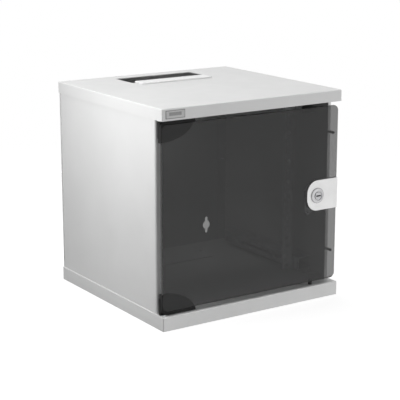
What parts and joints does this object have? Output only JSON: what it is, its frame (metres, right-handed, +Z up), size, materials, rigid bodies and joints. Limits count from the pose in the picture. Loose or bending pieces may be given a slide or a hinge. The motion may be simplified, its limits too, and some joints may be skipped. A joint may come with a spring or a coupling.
{
  "type": "wall mount network cabinet",
  "caption": "Small wall-hung cabinet for 10-inch rack equipment: sheet steel body with lid and base trays, tinted door with cam lock, rails and a rear cable entry.",
  "frame": {"origin": "middle of the footprint, at the bottom of the base's lips", "axes": "+X to the right seen from the door, +Y from the door to the wall, +Z up"},
  "size_m": [0.312, 0.3, 0.3172],
  "materials": {
    "light_grey_paint": "fine satin powder coat, light grey",
    "lock_plate_paint": "satin powder coat, light grey",
    "galvanised_steel": "galvanised sheet",
    "zinc_plated_steel": "bright zinc plate",
    "polished_steel": "turned and polished",
    "chrome": "bright chrome plate",
    "black_plastic": "moulded, fine grain",
    "black_rubber": "moulded rubber",
    "white_nylon": "moulded nylon",
    "tinted_pane": "smoke-tinted clear sheet, polished faces and eased edges"
  },
  "bodies": {
    "cabinet": {"lid": "light_grey_paint", "base": "light_grey_paint", "left_side_panel": "light_grey_paint", "right_side_panel": "light_grey_paint", "back_panel": "light_grey_paint", "left_rail": "galvanised_steel", "right_rail": "galvanised_steel", "left_upper_bar": "galvanised_steel", "left_lower_bar": "galvanised_steel", "right_upper_bar": "galvanised_steel", "right_lower_bar": "galvanised_steel", "rail_screws": "zinc_plated_steel", "rail_nuts": "zinc_plated_steel", "lid_nuts": "zinc_plated_steel", "base_nuts": "zinc_plated_steel", "back_screws": "zinc_plated_steel", "blanking_plate": "light_grey_paint", "blanking_screws": "zinc_plated_steel", "blanking_nuts": "zinc_plated_steel", "upper_hinge_pin": "polished_steel", "lower_hinge_pin": "polished_steel", "upper_hinge_washer": "white_nylon", "lower_hinge_washer": "white_nylon", "upper_bumper": "black_rubber", "lower_bumper": "black_rubber", "door_rest_pad": "black_rubber"},
    "entry": {"entry_plate": "light_grey_paint", "entry_nuts": "zinc_plated_steel"},
    "door": {"door_pane": "tinted_pane", "upper_hinge_corner": "black_plastic", "lower_hinge_corner": "black_plastic", "lock_plate": "lock_plate_paint", "lock_body": "chrome", "lock_washer": "zinc_plated_steel", "lock_nut": "zinc_plated_steel"},
    "lock": {"lock_cylinder": "polished_steel", "lock_cam": "zinc_plated_steel", "cam_screw": "zinc_plated_steel"}
  },
  "joints": [
    {"name": "door_hinge", "type": "hinge", "parent": "cabinet", "child": "door", "pos_m": [-0.15, -0.138, 0.15925], "axis": [0, 0, -1], "range_deg": [0, 180]},
    {"name": "lock_turn", "type": "hinge", "parent": "door", "child": "lock", "pos_m": [0.1165, -0.1496, 0.15925], "axis": [0, -1, 0], "range_deg": [0, 90]},
    {"name": "entry_plate_slide", "type": "slide", "parent": "cabinet", "child": "entry", "axis": [0, 1, 0], "range_m": [0, 0.014]}
  ]
}
